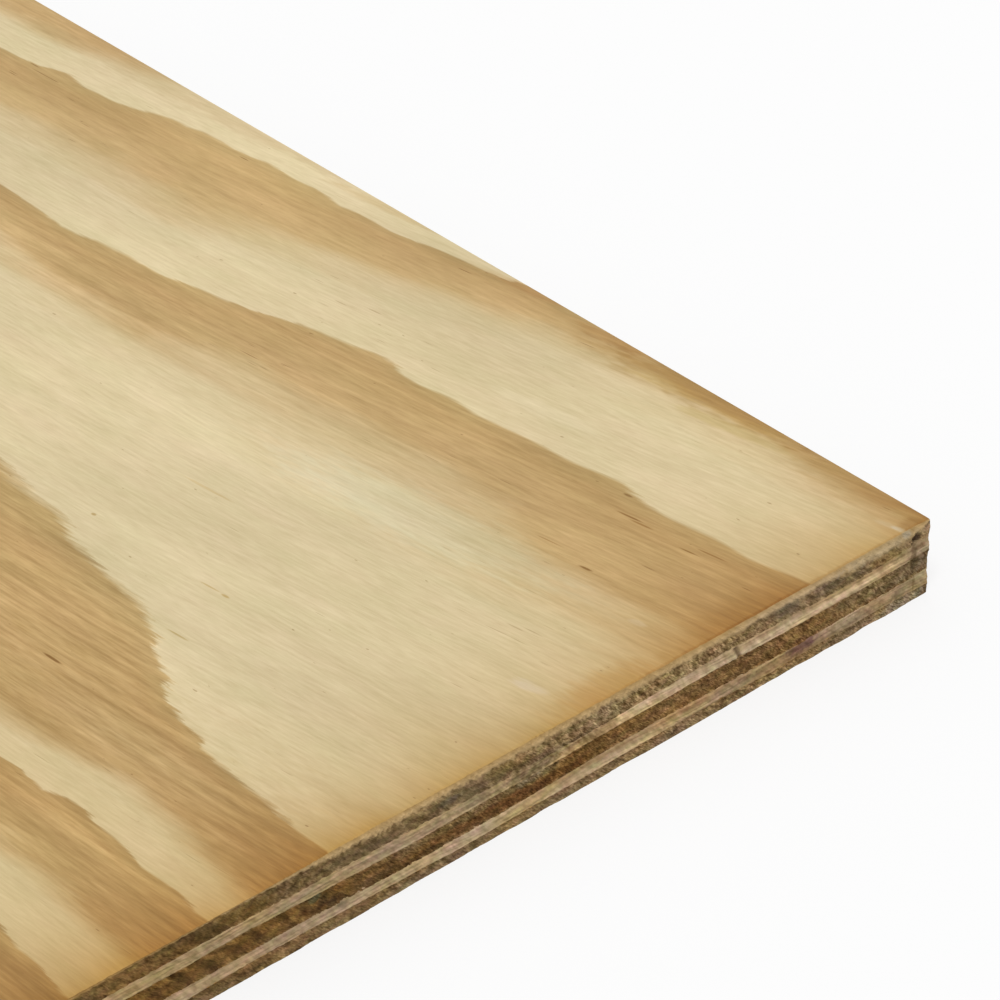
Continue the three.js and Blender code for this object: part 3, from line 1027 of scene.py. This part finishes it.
# Stain patches on the core's end, and one patch of painted shade along the crevice by the corner.
CORE_STAINS_AND_SHADE = [
    ((-225, -10), (90, 9), (0.92, 0.86, 0.68)),
    ((-125, -8.8), (22, 1.8), (0.90, 1.00, 1.12)),
    ((-113, -11.2), (26, 1.7), (0.72, 0.60, 0.54)),
    ((-161.6, -8.3), (2, 1.2), (0.56, 0.84, 1.25)),
    ((-159.8, -9.8), (1.6, 1.5), (0.56, 0.60, 0.80)),
    ((-157.6, -11.3), (1.5, 1.3), (0.58, 0.62, 0.78)),
    ((-107, -8.8), (8, 1.4), (0.88, 1.03, 1.26)),
    ((-94, -9.8), (9, 4), (0.84, 0.82, 0.80)),
    ((-12, -9.5), (18, 3), (1.04, 1.24, 1.55)),
    ((-2, -9.6), (3, 3.2), (0.84, 0.90, 0.98)),
    # Painted shade: the dark line of the crevice down the corner.
    ((-4.7, -9), (0.9, 2.6), (0.50, 0.48, 0.46)),
]
core_end = sawn_wall("core_end_grain", end_grain, CORE_END_EARLY, CORE_END_LATE, "end",
                     SAWN_DARK, 0.0005, CORE_STAINS_AND_SHADE)
core_edge = sawn_wall("core_long_edge", long_grain, SAWN_PALE, SAWN_DARK, "edge",
                      SAWN_DARK, 0.0002)
place_piece(core_mesh, "core_veneer", [core_end, core_end, core_edge])


# Lower crossband: the fourth ply, peeled from pine and glued under the core with its grain across
# the sheet. It is sound, with a purple sap stain near the corner.
# Stain patches on the lower crossband's end, and one patch of painted shade along the crevice by
# the corner.
LOWER_STAINS_AND_SHADE = [
    ((-110, -13.6), (200, 9), (0.95, 0.95, 0.95)),
    ((-170, -13.6), (26, 3), (0.88, 0.87, 0.86)),
    ((-80, -12.8), (34, 0.9), (0.92, 0.84, 0.78)),
    ((-88, -14.6), (34, 1), (1.10, 1.12, 1.12)),
    ((-60, -13), (17, 1.2), (0.76, 0.72, 0.70)),
    ((-34, -14.5), (28, 1.5), (0.68, 0.64, 0.63)),
    ((-36, -13.4), (5.4, 2.2), (0.50, 0.40, 0.58)),
    ((-155.2, -13.2), (1.5, 1.3), (0.68, 0.68, 0.70)),
    ((-14, -13.5), (9, 2.4), (0.86, 0.83, 0.80)),
    ((-4.6, -14.2), (7, 3.4), (0.70, 0.70, 0.70)),
    # Painted shade: the dark line of the crevice down the corner.
    ((-4.2, -13.6), (0.45, 2.6), (0.72, 0.68, 0.62)),
    ((-1.6, -13.6), (1.7, 1.6), (1.06, 1.12, 1.16)),
]
crossband("lower_crossband", 0.555, 51, [], [],
          crossband_end("lower_crossband_long_grain", LOWER_STAINS_AND_SHADE))


# Back veneer: the bottom and thinnest ply, peeled from pine and glued on with its grain along the
# sheet. It is sanded underneath, and the saw has rubbed its lower arris.
BACK_ROUGH_PLACES = [-205, -125, -80, 0]
BACK_ROUGHNESS = [0.3, 0.2, 0.7, 0.9]
RUBBED_DEPTH = 0.09 * MM


def back_rings(x, y):
    """Ring number on the underside."""
    return peeled_rings(x, y, 3.0, 0.1, 61)


back_mesh = saw_veneer("back_veneer", "below")
x, y, z, share = pressed_places(back_mesh, "back_veneer")
surface_rings = back_rings(x, y)
name_fields(back_mesh, ring=surface_rings + z * FACE_RINGS_PER_DEPTH,
            ring_slope=(back_rings(x + SLOPE_STEP, y) - surface_rings) / SLOPE_STEP,
            fibre=np.stack([x, y, z], 1), share=share,
            rough=along_end(y, BACK_ROUGH_PLACES, BACK_ROUGHNESS))
cut_in = end_grain_depth(x, y, z, 63) * np.clip(0.25 + 2.5 * share, 0.0, 1.0)
rubbed = RUBBED_DEPTH * (1 + drift(y, 0 * y, 11 * MM, 1, 64)) * (1 - share)
cut_in += corner_wear(x, y, z) + rubbed
x, y = pared(x, y, cut_in, LONG_EDGE_CUT)
move_vertices(back_mesh, x, y, z)

BACK_STAINS = [
    ((-190, -16.6), (60, 3.4), (0.89, 0.84, 0.71)),
    ((-110, -17.4), (220, 1.3), (1.04, 1.09, 1.15)),
    ((-60, -16), (14, 2), (0.90, 0.91, 0.90)),
    ((-93, -16.6), (9, 3), (1.08, 1.12, 1.16)),
    ((-7, -16.8), (7, 2.6), (1.04, 1.18, 1.52)),
    ((-1.4, -16.7), (2.4, 1.4), (0.78, 0.86, 1.02)),
]
BACK_END_EARLY = (0.320, 0.206, 0.095)
BACK_END_LATE = (0.262, 0.168, 0.076)
place_piece(back_mesh, "back_veneer",
            [sanded_pine("sanded_pine_back", []),
             sawn_wall("back_end_grain", end_grain, BACK_END_EARLY, BACK_END_LATE, "end",
                       SAWN_DARK, 0.0004, BACK_STAINS),
             sawn_wall("back_long_edge", long_grain, PALE_WOOD, TAN_WOOD, "edge", TAN_WOOD,
                       0.0002)])


# Bring the scene up to date.
bpy.context.view_layer.update()
